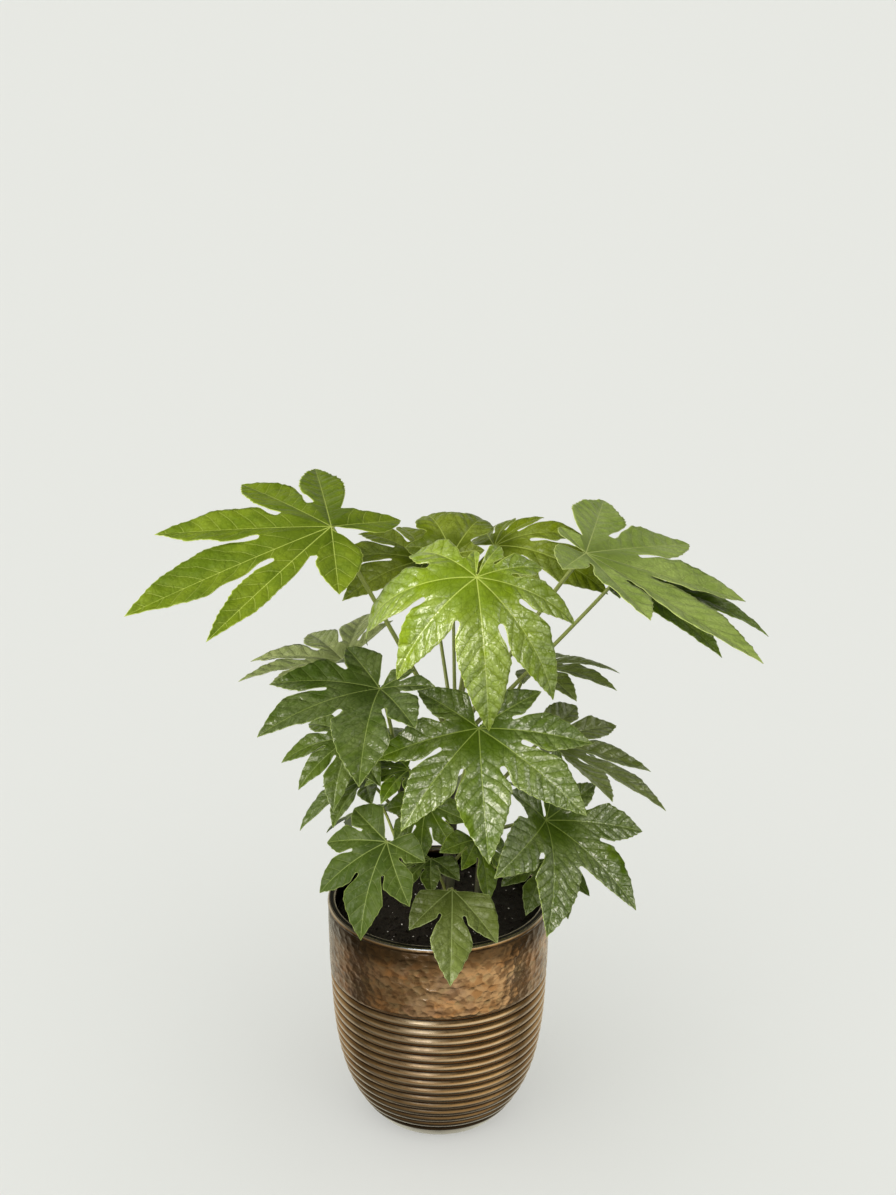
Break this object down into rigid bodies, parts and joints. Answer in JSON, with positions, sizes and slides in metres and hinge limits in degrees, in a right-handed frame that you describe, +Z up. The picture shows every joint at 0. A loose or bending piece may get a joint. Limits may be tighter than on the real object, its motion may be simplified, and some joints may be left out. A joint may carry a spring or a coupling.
{
  "type": "potted fatsia plant",
  "caption": "Bushy potted house plant with large glossy hand-shaped leaves on long stalks, in a hammered and ribbed bronze planter.",
  "frame": {"origin": "centre of the flat foot of the pot, on the surface it stands on", "axes": "+Z up along the pot's axis, -Y towards the viewer of the picture, +X to the viewer's right"},
  "size_m": [0.6481, 0.4499, 0.6968],
  "materials": {
    "bronze": "hammered and ribbed bronze with a brown patina, polished high spots",
    "compost": "dark crumbly potting compost with white perlite grains",
    "stem": "green-brown soft wood and smooth olive stalks",
    "young_leaf": "glossy yellow-green leaf blade with pale veins",
    "grown_leaf": "glossy mid-green leaf blade with pale veins",
    "old_leaf": "glossy dark green leaf blade with pale veins"
  },
  "bodies": {
    "root": {"compost": "compost", "leaf_back_left": "old_leaf", "leaf_back_low_left": "old_leaf", "leaf_back_middle": "grown_leaf", "leaf_back_right": "old_leaf", "leaf_crown_back": "young_leaf", "leaf_crown_front": "young_leaf", "leaf_crown_inner_left": "young_leaf", "leaf_crown_inner_right": "young_leaf", "leaf_crown_left": "young_leaf", "leaf_crown_right": "grown_leaf", "leaf_crown_under_right": "old_leaf", "leaf_hanging_front": "grown_leaf", "leaf_inner_left": "grown_leaf", "leaf_low_front": "grown_leaf", "leaf_low_front_left": "old_leaf", "leaf_low_inner": "grown_leaf", "leaf_low_left": "old_leaf", "leaf_low_right": "old_leaf", "leaf_mid_back_left": "grown_leaf", "leaf_mid_back_right": "old_leaf", "leaf_mid_front": "grown_leaf", "leaf_mid_left": "old_leaf", "leaf_mid_right": "grown_leaf", "leaf_mid_under_left": "old_leaf", "leaf_rim_inner": "old_leaf", "leaf_rim_right": "old_leaf", "pot": "bronze", "stem_front": "stem", "stem_left": "stem", "stem_right": "stem", "stem_tall": "stem"}
  },
  "joints": []
}
